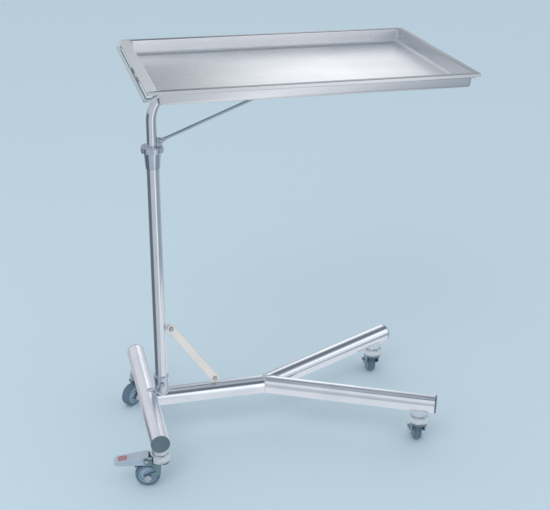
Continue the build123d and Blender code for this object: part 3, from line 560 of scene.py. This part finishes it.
def make_castor(name):
    """Turned cup with a rolled foot and a waisted neck, and a tyre with a crowned, grooved tread."""
    stem, axle = castor_stem_place(name)
    foot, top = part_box(f"castor_cup_{name}")[0].z, CUP_TOP
    cup = [(CUP_R - 2.3 * MM, foot), (CUP_R - 0.6 * MM, foot)]
    cup += [(CUP_R, foot + 0.6 * MM), (CUP_R, foot + 2.4 * MM)]
    cup += [(CUP_R - 0.7 * MM, foot + 3.0 * MM), (CUP_R - 0.7 * MM, top - 5.0 * MM)]
    for i in range(7):
        turn = math.radians(90 * i / 6)
        radius = NECK_R + 0.2 * MM + 3.6 * MM * math.cos(turn)
        cup.append((radius, top - 5.0 * MM + 4.6 * MM * math.sin(turn)))
    cup += [(NECK_R, top + 0.6 * MM), (NECK_R - 0.4 * MM, top + 5 * MM), (NECK_R, NECK_TOP)]
    cup += [(STEM_BORE_R, NECK_TOP), (STEM_BORE_R, CUP_CEILING)]
    cup.append((CUP_R - 2.5 * MM, CUP_CEILING - 0.2 * MM))
    lathe(f"cup_{name}", cup, stem, Matrix.Identity(3), "castor_plate", "base", (f"castor_cup_{name}",))
    along = Vector((axle.x - stem.x, axle.y - stem.y, 0)).normalized()
    side = Vector((-along.y, along.x, 0))
    turn = Matrix((along, Vector((0, 0, 1)), side)).transposed()
    tread = [(WHEEL_R - 0.25 * MM, 5.4), (WHEEL_R - 0.9 * MM, 5.0), (WHEEL_R - 0.9 * MM, 4.6)]
    tread += [(WHEEL_R - 0.1 * MM, 4.2), (WHEEL_R, 2.0), (WHEEL_R, 0.35), (WHEEL_R - 0.25 * MM, 0.0)]
    shoulder = []
    for i in range(6):
        angle = math.radians(90 * i / 5)
        shoulder.append((WHEEL_R - 3.5 * MM + 3.2 * MM * math.sin(angle), 5.6 + 3.2 * math.cos(angle)))
    side_face = TYRE_HALF / MM
    flank = [(RIM_R, 8.4), (RIM_R + 0.7 * MM, side_face), (WHEEL_R - 4.2 * MM, side_face)]
    half = [(radius, y * MM) for radius, y in flank + shoulder + tread]
    profile = half + [(radius, -y) for radius, y in reversed(half[:-1])]
    lathe(f"tyre_{name}", profile, axle, turn, "tyre_rubber", f"wheel_{name}", (f"wheel_tyre_{name}",), 96)


def make_bead(name, path, body, radius=1.9 * MM, closed=True):
    """Weld bead: a rippled round run along a path, half sunk in the seam."""
    count, sides, travelled = len(path), 8, 0.0
    loops = []
    for i, point in enumerate(path):
        before = path[i - 1] if closed or i else point
        after = path[(i + 1) % count] if closed or i < count - 1 else point
        along = (after - before).normalized()
        across = along.cross(Vector((0.13, 0.21, 0.97))).normalized()
        lift = across.cross(along)
        travelled += (point - path[i - 1]).length if i else 0.0
        size = radius * (1 + 0.16 * math.sin(2 * math.pi * travelled / (2.6 * MM)))
        ring = []
        for j in range(sides):
            angle = 2 * math.pi * j / sides
            ring.append(tuple(point + size * (math.cos(angle) * across + math.sin(angle) * lift)))
        loops.append(ring)
    points = [point for loop in loops for point in loop]
    faces = bridge(loops, closed)
    if not closed:
        faces += [tuple(range(sides)), tuple((count - 1) * sides + i for i in range(sides))]
    make_piece(name, points, faces, "tube_chrome", body, crease=60.0)


def make_beads():
    """Welds of the base: socket, beam, fork of the arms and castor necks."""
    post = (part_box("outer_post")[0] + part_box("outer_post")[1]) / 2
    cross = (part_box("base_cross_tube")[0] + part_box("base_cross_tube")[1]) / 2
    axis_z = cross.z
    turns = [2 * math.pi * i / 180 for i in range(180)]
    path = []
    for t in turns:
        x, y = post.x + SOCKET_R * math.cos(t), SOCKET_R * math.sin(t)
        reach = abs(x - cross.x)
        height = max(TUBE_R**2 - y**2, TUBE_R**2 - reach**2)
        path.append(Vector((x, y, axis_z + math.sqrt(height))))
    make_bead("weld_socket", path, "base")
    path = [
        Vector((cross.x + TUBE_R * abs(math.cos(t)), TUBE_R * math.cos(t), axis_z + TUBE_R * math.sin(t)))
        for t in turns
    ]
    make_bead("weld_cross_tube", path, "base")
    joint_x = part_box("base_main_beam")[1].x
    path = [Vector((joint_x, TUBE_R * math.cos(t), axis_z + TUBE_R * math.sin(t))) for t in turns]
    make_bead("weld_beam", path, "base")
    stem = castor_stem_place("far_right")[0]
    spread = math.atan2(stem.y, stem.x - joint_x)
    reach = TUBE_R / math.sin(spread)
    path = []
    for i in range(121):
        t = math.pi / 2 - math.pi * i / 120
        path.append(Vector((joint_x + reach * math.cos(t), 0, axis_z + TUBE_R * math.sin(t))))
    make_bead("weld_fork", path, "base", closed=False)
    for name in CORNERS:
        stem = castor_stem_place(name)[0]
        heading = {"far_right": spread, "near_right": -spread}.get(name, math.pi / 2)
        path = []
        for t in turns:
            drop = math.sqrt(TUBE_R**2 - (NECK_R * math.sin(t)) ** 2)
            x, y = NECK_R * math.cos(t + heading), NECK_R * math.sin(t + heading)
            path.append(Vector((stem.x + x, stem.y + y, axis_z - drop)))
        make_bead(f"weld_castor_{name}", path, "base", 1.5 * MM)


def make_pedal_pad():
    """Plain red grip pad near the tip of the brake pedal."""
    stem, axle = castor_stem_place("near_left")
    along = Vector((axle.x - stem.x, axle.y - stem.y, 0)).normalized()
    side = Vector((-along.y, along.x, 0))
    (start, high), (end, low) = PEDAL_HEEL, PEDAL_TIP
    slope = (low - high) / (end - start)
    tilt = (along + Vector((0, 0, slope))).normalized()
    up = side.cross(tilt) * (-1 if side.cross(tilt).z < 0 else 1)
    middle = stem + along * PAD_MIDDLE + Vector((0, 0, high + slope * (PAD_MIDDLE - start)))
    loops = []
    for inset, height in ((0, -0.3), (0, 0.5), (0.4, 0.9)):
        outline = rounded_loop(-9 + inset, 9 - inset, -7.5 + inset, 7.5 - inset, height, 3.0 - inset)
        loops.append([tuple(middle + (tilt * x + side * y + up * z) * MM) for x, y, z in outline])
    points = [point for loop in loops for point in loop]
    faces = bridge(loops, closed=False)
    count = len(loops[0])
    faces += [tuple(range(count)), tuple(2 * count + i for i in range(count))]
    make_piece("pedal_grip_pad", points, faces, "pedal_red", "brake_pedal")


# ---------------------------------------------------------------- the scene

make_camera()
make_floor()
make_world()
make_light("key_light", (-1.6, -2.4, 3.2), (0.0, 0.0, 0.3), 2.2, KEY_POWER)
for imported in list(bpy.data.materials):
    imported.name = imported.name + "_cad"
MATERIALS = make_materials()
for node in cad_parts.values():
    slot_name = node.data.materials[0].name.removesuffix("_cad")
    node.material_slots[0].material = MATERIALS[slot_name]
for light_node in ("gusset_strut", "gusset_tabs"):
    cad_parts[light_node].material_slots[0].material = MATERIALS["gusset_steel"]
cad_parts["base_cross_tube"].material_slots[0].material = MATERIALS["cross_tube_chrome"]
make_tray()
for corner_name in CORNERS:
    make_castor(corner_name)
make_beads()
make_pedal_pad()
bpy.context.scene.view_settings.view_transform = "Standard"
